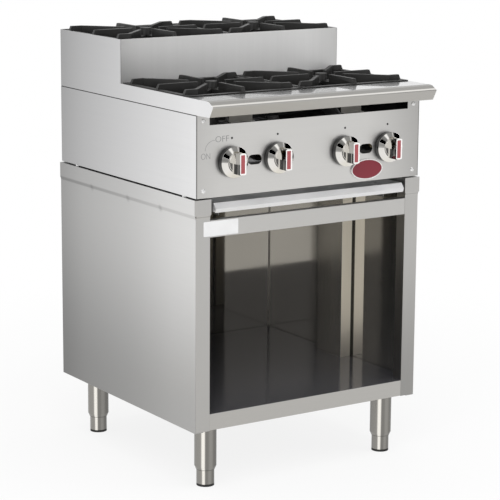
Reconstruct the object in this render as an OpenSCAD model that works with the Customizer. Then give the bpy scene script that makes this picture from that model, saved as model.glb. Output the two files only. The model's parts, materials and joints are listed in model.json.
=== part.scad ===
// Step-up gas range with four open burners on an open-fronted cabinet base.
// Millimetres. X runs to the right, Y to the back, Z up from the floor.
// Inside the modules Y is measured from the front face of the control panel.

/* [Main sizes] */
// Width of the range body
body_w = 610; // [560:5:760]
// Depth of the range body, from the control panel to the back
body_d = 620; // [600:5:760]
// Height of the range body, from its underside to the front deck
body_h = 218.5; // [205:0.5:260]
// Height of the rear step above the front deck
step_h = 101; // [70:1:150]
// Height of the cabinet base
cabinet_h = 529.5; // [400:0.5:640]
// Height of the legs, from the floor to the cabinet base
leg_h = 141; // [125:1:175]
// Thickness of the stainless sheet
sheet = 1.5; // [1:0.1:2]

/* [Cabinet base] */
// How far the cabinet side stands outside the body side
cabinet_over = 2.5; // [1.5:0.5:10]
// How far the cabinet back stands behind the body back
cabinet_back_over = 2; // [0:0.5:20]
// Height of the joggled band round the top of the cabinet
band_h = 35; // [28:1:45]
// How far the band stands proud of the sheet below it
band_proud = 2; // [0.5:0.5:4]
// Height over which the sheet slopes out to the band
joggle_h = 7; // [3:0.5:10]
// Width of the folded-in edges of the cabinet and body sides
flange_w = 22; // [16:1:24]
// Width of a front post
post_w = 38; // [32:1:44]
// Depth of a front post
post_d = 30; // [20:1:45]
// Width of the fold at the back of a front post
post_fold = 14; // [8:1:20]
// Height of the turned-down front lip of the shelf
shelf_lip = 38; // [25:1:50]
// Height of the lip's lower edge above the cabinet's lower edge
shelf_raise = 2.5; // [1:0.5:8]
// Height of the front rail
rail_h = 38.5; // [25:0.5:50]
// Depth of the front rail
rail_d = 18; // [12:1:26]
// Distance from the cabinet's top down to the front rail
rail_drop = 47.5; // [44:0.5:70]
// Width of a middle post, along the side wall
middle_post_w = 102; // [60:1:140]
// How far a middle post stands into the cabinet
middle_post_d = 34.5; // [30:0.5:40]
// Distance from the front to a middle post
middle_post_y = 249; // [150:1:300]

/* [Legs and feet] */
// Outer diameter of a leg tube
leg_dia = 50.8; // [46:0.2:56]
// Outer diameter of an adjustable foot
foot_dia = 41; // [36:0.5:42]
// Distance from the body's side to a leg's axis
leg_inset_x = 56; // [52:1:80]
// Distance from the front to a front leg's axis
leg_front = 50; // [46:1:80]
// Distance from the back to a rear leg's axis
leg_back = 72; // [46:1:100]
// Length of foot that shows under the leg tube
foot_show = 38.5; // [20:0.5:50]
// Height of the narrowing at a leg's lower end
leg_taper = 8.5; // [4:0.5:14]
// Diameter of the fixing flange on top of a leg
leg_flange_dia = 80; // [70:1:84]
// Thickness of the fixing flange
leg_flange_h = 3; // [2:0.5:6]
// Length of foot that stays inside the leg tube
foot_hidden = 92; // [60:1:110]
// Wall of a foot's tube
foot_wall = 3.5; // [2:0.5:5]
// Thickness of a foot's rubber pad
pad_h = 4; // [3:0.5:8]
// Height of the pad's plug inside the foot
pad_plug = 8; // [4:1:14]
// Height of the spacers between cabinet and range body
spacer_h = 3; // [2:0.5:12]
// Diameter of a spacer
spacer_dia = 16; // [10:1:18]
// Distance from the front to the front spacers
spacer_front = 58; // [40:1:120]
// Distance from the body's back to the rear spacers
spacer_back = 72; // [40:1:120]

/* [Step-up top] */
// How far the nose's tip stands in front of the control panel
nose_out = 64; // [56:1:90]
// How far the nose's top fold stands in front of the control panel
nose_break = 47.5; // [30:0.5:52]
// How far the nose's lower fold stands in front of the control panel
nose_foot = 51.5; // [30:0.5:54]
// Drop from the deck to the nose's tip
nose_tip_drop = 11; // [8:0.5:16]
// Softening of the nose's top fold
nose_soft = 6; // [3:0.5:9]
// Drop from the deck to the nose's lower fold
nose_h = 34; // [28:0.5:34.5]
// Height of the top's side skirts below the deck
skirt_h = 35; // [34.5:0.5:60]
// Height and depth of the shadow line under the skirts
seam_h = 1.8; // [1:0.1:3]
// Width of the ledge that carries a grate's frame
grate_ledge = 9; // [6:0.5:10]
// Height of the rim round the step's top
rim_h = 4; // [3:0.5:8]
// Height of each vent in the back sheet
vent_h = 8; // [4:1:16]
// Length of each vent in the back sheet
vent_w = 60; // [30:1:90]
// Number of vents in a row
vent_count = 5; // [2:1:7]

/* [Grates] */
// Distance from the control panel back to the front grates
grate_front = 40; // [20:1:60]
// Gap between a grate and the edge of the deck beside it
grate_side_gap = 3; // [2:0.5:8]
// Gap between the two grates of a pair
grate_middle_gap = 8; // [2:0.5:12]
// Gap around a rear grate, and half the gap between a front grate and the step
grate_back_gap = 3; // [2.5:0.5:6]
// Width of a frame bar
frame_w = 14; // [12:0.5:16]
// Height of the frame's flange above the deck
frame_h = 2; // [1.5:0.5:6]
// How deep the frame's inner rib reaches below the deck
frame_deep = 9; // [4:0.5:12]
// Gap between the frame's rib and the edge of the deck's opening
rib_gap = 0.8; // [0.5:0.1:1.5]
// Height of the fingers' tops above the deck
finger_top = 13; // [10:0.5:30]
// Thickness of a finger
finger_t = 8.5; // [6:0.5:12]
// How deep the fingers and the hub reach below the deck
finger_deep = 14; // [6:0.5:16]
// Height of the low ribs' tops below the deck, between the hub and the fingers
low_rib = 4; // [2:0.5:6]
// Slant of a finger's outer end
finger_slant = 5; // [2:0.5:10]
// Distance from a grate's edge to a finger's foot
finger_inset = 5; // [1:0.5:8]
// Distance from a grate's side to the bend of a corner finger
bend_x = 38; // [36:1:60]
// Distance from a grate's front or back to a corner finger's outer run
bend_y = 27; // [26:1:60]
// Radius of the hub
hub_r = 13.5; // [10:0.5:20]
// Drop from the fingers' tops to the hub's top
hub_drop = 0.5; // [0:0.5:3]
// Distance from the hub's middle to the inner end of a middle finger
finger_start = 37; // [24:1:46]
// Distance from the hub's middle, sideways, to the inner end of a corner finger
corner_start = 38; // [24:1:46]
// Length over which a finger gets deeper inside the opening
finger_ramp = 40; // [20:1:60]

/* [Control panel] */
// Height of the knobs' axes above the body's underside
knob_up = 75.5; // [60:0.5:90]
// Distance from a burner pair's middle to each of its two knobs
knob_spread = 60.5; // [58:0.5:64]
// Diameter of a knob's skirt
knob_dia = 70; // [56:1:72]
// Depth of a knob's skirt
knob_skirt = 11.5; // [8:0.5:16]
// Depth of the bevel in front of the skirt
knob_bevel = 7; // [4:0.5:10]
// Diameter of the face inside the bevel
knob_face_dia = 46; // [38:1:50]
// How far a knob's grip stands in front of the panel
knob_out = 45; // [36:1:52]
// Width of the grip at its front
grip_w = 17; // [12:0.5:22]
// Extra width of the grip at its root
grip_flare = 5; // [0:0.5:8]
// Length of the grip
grip_l = 50; // [44:1:52]
// Gap between a knob and the panel
knob_gap = 1.5; // [1:0.5:4]
// Diameter of a valve stem
stem_dia = 8; // [6:0.5:10]
// Length of the coloured insert on a knob
insert_l = 46; // [36:1:48]
// Width of the coloured insert on a knob
insert_w = 16; // [10:0.5:17]
// Thickness of the coloured insert
insert_t = 1.5; // [0.5:0.5:3]
// Width of a pilot sight hole
sight_w = 37; // [26:1:40]
// Height of a pilot sight hole
sight_h = 22; // [14:1:26]
// Height of the air slot under the nose
slot_h = 16.5; // [8:0.5:20]
// Distance from the slot's end to the side of the body
slot_end = 33.5; // [30:0.5:80]
// Distance from the panel's top to the slot
slot_drop = 7; // [4:0.5:12]
// Distance from a corner screw to the side of the body
screw_x = 17.5; // [14:0.5:24]
// Distance from the upper corner screws to the panel's top
screw_top = 13; // [10:0.5:24]
// Distance from the lower corner screws to the panel's lower edge
screw_low = 16; // [10:0.5:24]
// Diameter of a corner screw's head
screw_dia = 10.5; // [7:0.5:12]
// Diameter of a corner screw's shank
shank_dia = 5; // [3:0.5:6]
// Width of the badge plate
badge_w = 88; // [50:1:90]
// Height of the badge plate
badge_h = 47; // [20:1:48]
// Thickness of the badge plate
badge_t = 4; // [1:0.5:6]
// Height of the badge's middle above the body's underside
badge_up = 28; // [26:0.5:30]

/* [Crumb tray] */
// Gap between the tray and the front posts
tray_side_gap = 8; // [3:0.5:16]
// Height of the tray's floor below the cabinet's top
tray_drop = 30; // [26:0.5:32]
// Height of the tray's walls
tray_h = 20; // [12:0.5:22]
// Gap behind the tray
tray_back_gap = 20; // [6:1:60]
// How far the folded front lip stands in front of the panel
lip_out = 7; // [4:0.5:12]
// Height of the lip's fold above the tray's floor
lip_fold = 8; // [5:0.5:12]
// How far a runner reaches under the tray
runner_w = 44; // [36:1:60]
// Height of the runner's turned-down inner edge
runner_fold = 15; // [6:0.5:17]

/* [Gas train] */
// Outer diameter of the manifold and the supply pipe
pipe_dia = 26.7; // [21.3:0.1:27]
// Wall of the pipes
pipe_wall = 2.9; // [2:0.1:4]
// Length of the supply pipe's thread
thread_l = 24; // [14:1:30]
// Depth cut off the pipe's outside along the thread
thread_cut = 0.5; // [0.3:0.1:0.8]
// Length of each arm of the supply pipe's elbow
elbow_l = 26; // [22:1:34]
// How far the elbow stands proud of the pipe
elbow_wall = 3.5; // [2:0.5:5]
// Distance from the panel to the manifold's axis
manifold_y = 40; // [36:1:46]
// Distance from the valves' axes down to the manifold's axis
manifold_drop = 26; // [25:0.5:30]
// Distance from the body's side to the supply pipe's axis
supply_inset = 43; // [40:1:46]
// How far the threaded inlet stands behind the body
inlet_out = 25; // [16:1:60]
// Diameter of a valve body
valve_dia = 22; // [18:1:24]
// Diameter of the threaded stub under a valve
stub_dia = 14; // [10:1:16]
// Diameter of a burner's cap
cap_dia = 96; // [80:1:104]
// Height of a burner's cap
cap_h = 17; // [12:0.5:22]
// Height of a burner's bowl
bowl_h = 26; // [20:0.5:34]
// Distance from the deck down to the top of the burner's cap
cap_drop = 20; // [18:0.5:30]
// Outer diameter of a mixing tube
mixer_dia = 30; // [24:0.5:34]
// Number of ports round a cap
port_count = 20; // [8:1:30]
// Outer diameter of a pilot tube
pilot_dia = 6; // [4:0.5:7]

/* [Hidden] */
$fn = 64;

// Clearance of a part that slides or lifts out
slide_gap = 0.3;
// Radial clearance of a part that turns or is screwed in
turn_gap = 0.05;
// Radial clearance of a hole for a screw or pipe that passes through it
pass_gap = 1;

// Levels above the floor
z_cabinet = leg_h;
z_shelf = z_cabinet + shelf_raise + shelf_lip;
z_cabinet_top = z_cabinet + cabinet_h;
z_band = z_cabinet_top - band_h;
z_rail_top = z_cabinet_top - rail_drop;
z_tray = z_cabinet_top - tray_drop;
z_runner = z_tray - slide_gap;
z_body = z_cabinet_top + spacer_h;
z_deck = z_body + body_h;
z_step = z_deck + step_h;
z_rear = z_step - rim_h;
z_skirt = z_deck - skirt_h;
z_knob = z_body + knob_up;
z_manifold = z_knob - manifold_drop;
z_badge = z_body + badge_up;

// Half widths and depths
body_x = body_w / 2;
body_inner_x = body_x - sheet;
cabinet_x = body_x + cabinet_over;
cabinet_inner_x = cabinet_x - sheet;
cabinet_d = body_d + cabinet_back_over;
band_x = cabinet_x + band_proud;
post_x = cabinet_x - post_w;
cap_x = post_x - band_proud;
panel_fold = 2 * screw_x - sheet;
rear_inner_y = body_d - sheet;

// Legs
leg_x = body_x - leg_inset_x;
leg_y = [leg_front, cabinet_d - leg_back];
leg_top = z_shelf - sheet;
foot_r = foot_dia / 2;
foot_top = foot_show + foot_hidden;

// Grates
grate_w = body_x - grate_side_gap - grate_middle_gap / 2;
pair_x = (grate_middle_gap + grate_w) / 2;
grate_d = (body_d - grate_front) / 2 - 2 * grate_back_gap;
step_y = body_d - grate_d - 2 * grate_back_gap;
front_grate_y = step_y - 2 * grate_back_gap - grate_d / 2;
rear_grate_y = step_y + grate_back_gap + grate_d / 2;
opening_w = grate_w - 2 * grate_ledge;
opening_d = grate_d - 2 * grate_ledge;
frame_lap = (frame_w - grate_ledge + rib_gap) / 2;

// Edge where the deck's sheet meets the nose's sheet
deck_y0 = 2 * nose_soft - nose_break;

// Tray
tray_x = cap_x - tray_side_gap;
tray_y1 = cabinet_d - sheet - tray_back_gap;
runner_x = cabinet_inner_x - middle_post_d;

// Gas train
pipe_r = pipe_dia / 2;
supply_x = body_x - supply_inset;
inlet_y = body_d + inlet_out;
valve_y0 = 4;
valve_y1 = manifold_y + pipe_r;
hood_y1 = valve_y1 + 16;
mixer_y0 = hood_y1 + 5;

// Middle of the whole depth, which becomes Y = 0
middle_y = (inlet_y - nose_out) / 2;

steel = [0.78, 0.78, 0.77];
dark_steel = [0.55, 0.55, 0.54];
iron = [0.13, 0.13, 0.14];
chrome = [0.86, 0.86, 0.84];
brass = [0.72, 0.58, 0.3];
rubber = [0.06, 0.06, 0.06];
red = [0.68, 0.16, 0.18];

// Moves a piece from the panel's frame to the frame of the whole range
module placed() {
    translate([0, -middle_y, 0]) children();
}

// Draws a piece of the right side, or its mirror image on the left
module on_side(side) {
    if (side > 0) children();
    else mirror([1, 0, 0]) children();
}

module block(x, y, z) {
    translate([x[0], y[0], z[0]]) cube([x[1] - x[0], y[1] - y[0], z[1] - z[0]]);
}

module rod_x(x0, x1, y, z, r) {
    translate([x0, y, z]) rotate([0, 90, 0]) cylinder(h = x1 - x0, r = r);
}

module rod_y(x, y0, y1, z, r) {
    translate([x, y0, z]) rotate([-90, 0, 0]) cylinder(h = y1 - y0, r = r);
}

module rod_z(x, y, z0, z1, r) {
    translate([x, y, z0]) cylinder(h = z1 - z0, r = r);
}

// A round bar along a list of points, with a bead at each bend
module bar_path(points, r) {
    bead = 1.06;
    for (i = [0 : len(points) - 2]) {
        a = points[i];
        d = points[i + 1] - a;
        l = norm(d);
        translate(a) rotate([0, acos(d[2] / l), atan2(d[1], d[0])]) cylinder(h = l, r = r);
    }
    for (i = [1 : len(points) - 2]) translate(points[i]) sphere(r = bead * r);
}

// A bent strip of even thickness along a line of points, with mitred corners
module strip(points, t) {
    last = len(points) - 1;
    outer = [for (i = [0 : last]) points[i] + mitre(points, i) * t / 2];
    inner = [for (i = [0 : last]) points[last - i] - mitre(points, last - i) * t / 2];
    polygon(concat(outer, inner));
}

// A folded sheet: its middle line runs along points in the YZ plane, drawn along X
module folded_x(points, x0, x1, t) {
    translate([x0, 0, 0]) rotate([90, 0, 90]) linear_extrude(x1 - x0) strip(points, t);
}

// Normal of the stretch that starts at point i, and the mitred normal at point i
function stretch_normal(p, i) = [p[i][1] - p[i + 1][1], p[i + 1][0] - p[i][0]] / norm(p[i + 1] - p[i]);
function mitre(p, i) = i == 0 ? stretch_normal(p, 0)
    : i == len(p) - 1 ? stretch_normal(p, i - 1)
    : (stretch_normal(p, i - 1) + stretch_normal(p, i))
    / (1 + stretch_normal(p, i - 1) * stretch_normal(p, i));

// A folded sheet: its middle line runs along points in the XZ plane, drawn along Y
module folded_y(points, y0, y1, t) {
    translate([0, y1, 0]) rotate([90, 0, 0]) linear_extrude(y1 - y0) strip(points, t);
}

// A rounded slot or plate with its length along X and its thickness along Y
module obround_y(x, z, w, h, y0, y1) {
    block([x - (w - h) / 2, x + (w - h) / 2], [y0, y1], [z - h / 2, z + h / 2]);
    for (s = [-1, 1]) rod_y(x + s * (w - h) / 2, y0, y1, z, h / 2);
}

// Cabinet base

module side_panel(side) {
    t = sheet / 2;
    on_side(side) folded_y([
        [cabinet_x - flange_w, z_cabinet + t], [cabinet_x - t, z_cabinet + t],
        [cabinet_x - t, z_band - joggle_h], [band_x - t, z_band],
        [band_x - t, z_cabinet_top - t], [band_x - flange_w, z_cabinet_top - t]
    ], 0, cabinet_d, sheet);
}

module left_side_panel() color(steel) placed() side_panel(-1);
module right_side_panel() color(steel) placed() side_panel(1);

module cabinet_back() color(steel) placed() {
    y = [cabinet_d - sheet, cabinet_d];
    w = cabinet_inner_x;
    top_w = band_x - sheet;
    block([-w, w], y, [z_cabinet + sheet, z_cabinet_top - sheet]);
    block([-top_w, top_w], y, [z_band + sheet, z_cabinet_top - sheet]);
}

module cabinet_shelf() color(steel) placed() {
    w = cabinet_inner_x;
    back = cabinet_d - sheet;
    z0 = z_shelf - shelf_lip;
    block([-w, w], [sheet, back], [z_shelf - sheet, z_shelf]);
    block([-post_x, post_x], [0, sheet], [z0, z_shelf]);
    block([-w, w], [back - sheet, back], [z0, z_shelf]);
}

// One front post: a channel whose face slopes out to a wider cap at the top
module front_post(side) {
    t = sheet / 2;
    cap_y = -band_proud;
    z_joggle = z_band - joggle_h;
    on_side(side) {
        folded_x([
            [t, z_cabinet + sheet], [t, z_joggle], [t - band_proud, z_band], [t - band_proud, z_cabinet_top]
        ], post_x, cabinet_inner_x, sheet);
        block([cabinet_inner_x, band_x], [cap_y, 0], [z_band, z_cabinet_top]);
        block([cap_x, band_x], [cap_y, cap_y + sheet], [z_band, z_cabinet_top]);
        block([post_x, post_x + sheet], [t, post_d], [z_shelf, z_band]);
        block([post_x, post_x + post_fold], [post_d - sheet, post_d], [z_shelf, z_band]);
        block([cap_x, post_x + sheet], [cap_y, post_d], [z_band, z_band + sheet]);
        block([cap_x, cap_x + sheet], [cap_y, post_d], [z_band, z_cabinet_top]);
        block([cap_x, band_x - flange_w], [cap_y, post_d], [z_cabinet_top - sheet, z_cabinet_top]);
    }
}

module left_front_post() color(steel) placed() front_post(-1);
module right_front_post() color(steel) placed() front_post(1);

module middle_posts() color(steel) placed() {
    y0 = middle_post_y;
    y1 = middle_post_y + middle_post_w;
    z = [z_shelf, z_cabinet_top - sheet];
    for (side = [-1, 1]) on_side(side) {
        block([runner_x, runner_x + sheet], [y0, y1], z);
        block([runner_x, cabinet_inner_x], [y0, y0 + sheet], [z_shelf, z_band - joggle_h]);
        block([runner_x, cabinet_inner_x], [y1 - sheet, y1], [z_shelf, z_band - joggle_h]);
        block([runner_x, runner_x + 2 * post_fold], [y0, y1], [z[1] - sheet, z[1]]);
    }
}

module front_rail() color(steel) placed() {
    x = [-post_x, post_x];
    z0 = z_rail_top - rail_h;
    block(x, [0, sheet], [z0, z_rail_top]);
    block(x, [0, rail_d], [z_rail_top - sheet, z_rail_top]);
    block(x, [0, rail_d], [z0, z0 + sheet]);
}

// Legs and feet

module legs() color(dark_steel) placed() {
    bore = foot_r + slide_gap;
    r = leg_dia / 2;
    flange_r = leg_flange_dia / 2;
    z_flange = leg_top - leg_flange_h;
    for (sx = [-1, 1], y = leg_y) translate([sx * leg_x, y, 0]) rotate_extrude() polygon([
        [bore, foot_show], [bore + 1, foot_show], [r, foot_show + leg_taper], [r, z_flange],
        [flange_r, z_flange], [flange_r, leg_top], [bore, leg_top]
    ]);
}

module foot(sx, row) {
    color(dark_steel) placed() translate([sx * leg_x, leg_y[row], 0]) difference() {
        rod_z(0, 0, pad_h, foot_top, foot_r);
        rod_z(0, 0, 0, foot_top + pad_h, foot_r - foot_wall);
    }
}

module pad(sx, row) {
    color(rubber) placed() translate([sx * leg_x, leg_y[row], 0]) {
        rod_z(0, 0, 0, pad_h, foot_r);
        rod_z(0, 0, 0, pad_h + pad_plug, foot_r - foot_wall - slide_gap);
    }
}

module front_left_foot() foot(-1, 0);
module front_right_foot() foot(1, 0);
module rear_left_foot() foot(-1, 1);
module rear_right_foot() foot(1, 1);
module front_left_pad() pad(-1, 0);
module front_right_pad() pad(1, 0);
module rear_left_pad() pad(-1, 1);
module rear_right_pad() pad(1, 1);

module body_spacers() color(chrome) placed() {
    x = body_x - spacer_dia / 2;
    for (sx = [-1, 1], y = [spacer_front, body_d - spacer_back]) {
        rod_z(sx * x, y, z_cabinet_top, z_body, spacer_dia / 2);
    }
}

// Range body

// Shanks of the two corner screws on one side, widened by a clearance
module screw_shanks(gap) {
    for (z = [z_body + screw_low, z_skirt - screw_top]) {
        rod_y(body_x - screw_x, -sheet, 5 * sheet, z, shank_dia / 2 + gap);
    }
}

module body_side(side) {
    y = [sheet, body_d];
    groove = [z_skirt - seam_h, z_skirt + seam_h];
    on_side(side) difference() {
        union() {
            block([body_inner_x, body_x], y, [z_body, z_skirt]);
            block([body_x - flange_w, body_x], y, [z_body, z_body + sheet]);
            block([body_x - flange_w, body_x], [sheet, rear_inner_y], [z_skirt - sheet, z_skirt]);
            block([body_x - panel_fold, body_x], [sheet, 2 * sheet], [z_body, z_skirt]);
        }
        block([body_x - sheet / 2, body_x + sheet], [0, body_d + sheet], groove);
        screw_shanks(slide_gap);
    }
}

module left_body_side() color(steel) placed() body_side(-1);
module right_body_side() color(steel) placed() body_side(1);

module body_back() color(steel) placed() difference() {
    w = body_inner_x;
    pitch = vent_w + vent_h + 20;
    block([-w, w], [rear_inner_y, body_d], [z_body + sheet, z_step]);
    rod_y(supply_x, rear_inner_y - sheet, body_d + sheet, z_manifold, pipe_r + pass_gap);
    for (i = [0 : vent_count - 1], row = [1, 2, 3]) {
        x = (i - (vent_count - 1) / 2) * pitch;
        obround_y(x, z_step - 20 * row, vent_w, vent_h, rear_inner_y - sheet, body_d + sheet);
    }
}

module control_panel() color(steel) placed() difference() {
    fold_x = body_x - panel_fold;
    cut = [-sheet, 2 * sheet];
    slot_x = body_x - slot_end;
    z_slot = z_skirt - slot_drop;
    union() {
        block([-body_x, body_x], [0, sheet], [z_body, z_skirt]);
        block([-fold_x, fold_x], [0, 8 * sheet], [z_skirt - sheet, z_skirt]);
    }
    block([-slot_x, slot_x], cut, [z_slot - slot_h, z_slot]);
    for (sx = [-1, 1]) {
        obround_y(sx * pair_x, z_knob, sight_w, sight_h, cut[0], cut[1]);
        on_side(sx) screw_shanks(slide_gap);
        for (s = [-1, 1]) {
            rod_y(sx * pair_x + s * knob_spread, cut[0], cut[1], z_knob, stem_dia / 2 + pass_gap);
        }
    }
}

module panel_screws() color(chrome) placed() {
    head_h = 2.5;
    r = screw_dia / 2;
    x = body_x - screw_x;
    for (sx = [-1, 1], z = [z_body + screw_low, z_skirt - screw_top]) {
        translate([sx * x, 0, z]) rotate([90, 0, 0]) difference() {
            rotate_extrude() polygon([
                [0, -4 * sheet], [shank_dia / 2, -4 * sheet], [shank_dia / 2, 0],
                [r, 0], [r - 0.5, head_h / 2], [r / 2, head_h], [0, head_h]
            ]);
            for (a = [0, 90]) rotate(a) translate([-r / 2, -0.6, head_h - 1]) cube([r, 1.2, 2]);
        }
    }
}

module badge_plate() color(red) placed() {
    obround_y(pair_x + sheet, z_badge, badge_w, badge_h, -badge_t, 0);
}

// Step-up top

// A flat sheet with two grate openings, from y0 to y1, with its top at z
module grate_sheet(y0, y1, grate_y, z) {
    difference() {
        block([-body_inner_x, body_inner_x], [y0, y1], [z - sheet, z]);
        for (sx = [-1, 1]) translate([sx * pair_x, grate_y, z]) {
            cube([opening_w, opening_d, 4 * sheet], center = true);
        }
    }
}

module front_deck() color(steel) placed() grate_sheet(deck_y0, step_y, front_grate_y, z_deck);
module riser_top() color(steel) placed() {
    grate_sheet(step_y + sheet, rear_inner_y, rear_grate_y, z_rear);
}

module riser_front() color(steel) placed() {
    w = body_inner_x;
    block([-w, w], [step_y, step_y + sheet], [z_deck - 8 * sheet, z_step]);
}

// Outer line of the nose, from the deck round the tip to the lower fold
nose_line = [
    [-nose_break + nose_soft, z_deck],
    [-nose_break - nose_soft / 4, z_deck - nose_soft / 5],
    [-nose_out + nose_soft, z_deck - nose_tip_drop + nose_soft * 0.75],
    [-nose_out, z_deck - nose_tip_drop + nose_soft / 5],
    [-nose_out, z_deck - nose_tip_drop - nose_soft / 4],
    [-nose_foot, z_deck - nose_h]
];

module deck_nose() color(steel) placed() {
    line = concat([[deck_y0, z_deck]], nose_line, [[0, z_skirt], [7 * sheet, z_skirt]]);
    last = len(line) - 1;
    inner = [for (i = [0 : last]) line[last - i] + mitre(line, last - i) * sheet];
    translate([-body_inner_x, 0, 0]) rotate([90, 0, 90]) linear_extrude(2 * body_inner_x) {
        polygon(concat(line, inner));
    }
}

module skirt(side) {
    on_side(side) {
        translate([body_inner_x, 0, 0]) rotate([90, 0, 90]) linear_extrude(sheet) polygon(concat(
            [[0, z_skirt], [body_d, z_skirt], [body_d, z_step], [step_y, z_step], [step_y, z_deck]],
            nose_line
        ));
        block([body_x - flange_w, body_x], [12 * sheet, rear_inner_y], [z_skirt, z_skirt + sheet]);
    }
}

module left_skirt() color(steel) placed() skirt(-1);
module right_skirt() color(steel) placed() skirt(1);

// Crumb tray

module tray_runner(side) {
    y = [post_d, cabinet_d - sheet];
    inner = runner_x - runner_w;
    on_side(side) {
        block([runner_x - sheet, runner_x], y, [z_runner - sheet, z_cabinet_top - 2 * sheet]);
        block([inner, runner_x], y, [z_runner - sheet, z_runner]);
        block([inner, inner + sheet], y, [z_runner - runner_fold, z_runner]);
    }
}

module left_tray_runner() color(dark_steel) placed() tray_runner(-1);
module right_tray_runner() color(dark_steel) placed() tray_runner(1);

module crumb_tray() color(steel) placed() {
    x = tray_x;
    y0 = sheet;
    y1 = tray_y1;
    z = [z_tray, z_tray + tray_h];
    lip_top = z[1] - sheet / 2;
    block([-x, x], [y0, y1], [z[0], z[0] + sheet]);
    for (side = [-1, 1]) on_side(side) block([x - sheet, x], [y0, y1], z);
    block([-x, x], [y1 - sheet, y1], z);
    block([-x, x], [y0, y0 + sheet], z);
    folded_x([
        [y0 + sheet / 2, lip_top],
        [-lip_out, z_tray + lip_fold],
        [-lip_out + 2 * sheet, z_tray - sheet / 2]
    ], -x, x, sheet);
}

// Gas train

// Holes that the stubs of the valves are screwed into
module stub_holes(gap) {
    for (sx = [-1, 1], s = [-1, 0, 1]) {
        rod_z(sx * pair_x + s * knob_spread, manifold_y, z_manifold, z_knob, stub_dia / 2 + gap);
    }
}

module manifold_pipe() color(dark_steel) placed() {
    x0 = -pair_x - knob_spread - 40;
    bracket_x = pair_x + knob_spread + 16;
    difference() {
        union() {
            rod_x(x0, supply_x - pipe_r, manifold_y, z_manifold, pipe_r);
            rod_x(x0 - 4, x0 + 12, manifold_y, z_manifold, pipe_r + 3);
            for (sx = [-1, 1]) translate([sx * bracket_x, 0, 0]) {
                block([-2, 2], [sheet, manifold_y], [z_manifold - pipe_r, z_manifold + pipe_r]);
                block([-12, 12], [sheet, 2 * sheet], [z_manifold - pipe_r, z_manifold + pipe_r]);
            }
        }
        rod_x(x0 + 8, supply_x, manifold_y, z_manifold, pipe_r - pipe_wall);
        stub_holes(turn_gap);
    }
}

module supply_pipe() color(dark_steel) placed() difference() {
    wrap = pipe_r + elbow_wall;
    union() {
        rod_y(supply_x, manifold_y, inlet_y - thread_l, z_manifold, pipe_r);
        rod_y(supply_x, inlet_y - thread_l - 1, inlet_y, z_manifold, pipe_r - thread_cut);
        rod_y(supply_x, manifold_y, manifold_y + elbow_l, z_manifold, wrap);
        rod_x(supply_x - elbow_l, supply_x, manifold_y, z_manifold, wrap);
        translate([supply_x, manifold_y, z_manifold]) sphere(r = wrap * 1.04);
    }
    rod_y(supply_x, manifold_y, inlet_y + 1, z_manifold, pipe_r - pipe_wall);
    rod_x(supply_x - elbow_l - 1, supply_x - pipe_r, manifold_y, z_manifold, pipe_r + turn_gap);
}

// One valve body with its stub, bonnet and outlet hood
module valve(x) {
    stem_bore = stem_dia / 2 + turn_gap;
    difference() {
        union() {
            rod_y(x, valve_y0 + 8, valve_y1, z_knob, valve_dia / 2);
            rod_y(x, valve_y0, valve_y0 + 9, z_knob, valve_dia / 2 - 3);
            rod_y(x, valve_y1 - 1, hood_y1, z_knob, 6);
            rod_z(x, manifold_y, z_manifold + pipe_r - pipe_wall, z_knob, stub_dia / 2);
        }
        rod_y(x, 0, valve_y0 + 14, z_knob, stem_bore);
        rod_y(x, hood_y1 - 3, hood_y1 + 1, z_knob, 1.5);
    }
}

module gas_valves() color(brass) placed() {
    for (sx = [-1, 1], s = [-1, 1]) valve(sx * pair_x + s * knob_spread);
}

module pilot_valves() color(brass) placed() {
    for (sx = [-1, 1]) {
        rod_z(sx * pair_x, manifold_y, z_manifold + pipe_r - pipe_wall, z_knob - 4, stub_dia / 2);
        rod_z(sx * pair_x, manifold_y, z_knob - 8, z_knob + 6, stub_dia / 2 - 2);
    }
}

// Top of the burner's cap and the pilot's tip for one row of burners
function cap_z(z) = z - cap_drop;
function bowl_z(z) = cap_z(z) - cap_h - bowl_h;

module pilot_tubes() color(brass) placed() {
    $fn = 16;
    r = pilot_dia / 2;
    start = z_knob + 6;
    reach = cap_dia / 2 + 14;
    aside = pair_x - cap_dia / 2 - 46;
    low = bowl_z(z_deck) - 40;
    for (side = [-1, 1]) on_side(side) {
        bar_path([
            [pair_x, manifold_y, start], [pair_x, manifold_y, start + 14],
            [pair_x, front_grate_y - reach, bowl_z(z_deck)],
            [pair_x, front_grate_y - reach, cap_z(z_deck) - 8]
        ], r);
        bar_path([
            [pair_x, manifold_y, start + 7], [aside, manifold_y + 20, low],
            [aside, rear_grate_y, low],
            [pair_x - reach, rear_grate_y, bowl_z(z_rear)],
            [pair_x - reach, rear_grate_y, cap_z(z_rear) - 8]
        ], r);
    }
}

// A channel across the body that the two bowls of a row rest on
module burner_support(grate_y, z) {
    x = [-body_inner_x, body_inner_x];
    y0 = grate_y + mixer_dia / 2 - 2;
    y1 = y0 + 24;
    block(x, [y0, y1], [z - sheet, z]);
    block(x, [y0, y0 + sheet], [z - 18, z]);
    block(x, [y1 - sheet, y1], [z - 18, z]);
}

module burner_supports() color(dark_steel) placed() {
    burner_support(front_grate_y, bowl_z(z_deck));
    burner_support(rear_grate_y, bowl_z(z_rear));
}

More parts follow.
